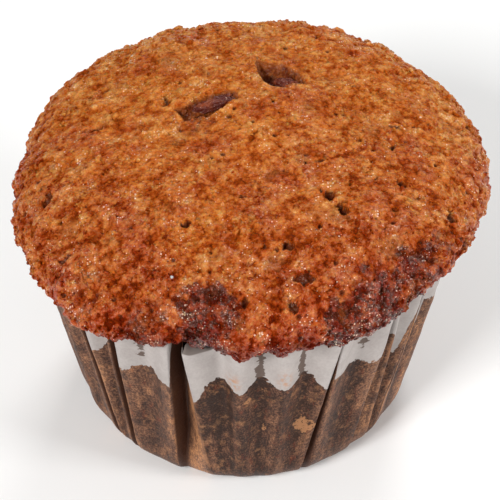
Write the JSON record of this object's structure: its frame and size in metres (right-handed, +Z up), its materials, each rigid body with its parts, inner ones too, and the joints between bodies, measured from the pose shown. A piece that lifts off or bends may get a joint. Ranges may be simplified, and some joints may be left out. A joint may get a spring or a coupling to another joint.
{
  "type": "muffin",
  "caption": "Domed baked muffin in a pleated paper case, with dark fruit showing in the crown, standing on a flat base.",
  "frame": {"origin": "middle of the crown's outline, on the surface that the case stands on", "axes": "+Z up through the crown, -Y towards the side with the widest panel of the case, +X to the right seen from there"},
  "size_m": [0.0806, 0.077, 0.0581],
  "materials": {
    "crust": "moist golden-brown baked crust, open crumb",
    "paper": "thin pleated baking paper, white and dry at the top, translucent brown where soaked with fat",
    "fruit": "dark, wet, cooked fruit"
  },
  "bodies": {
    "root": {"cake": "crust", "paper_case": "paper", "fruit_piece_left": "fruit", "fruit_piece_right": "fruit"}
  },
  "joints": []
}
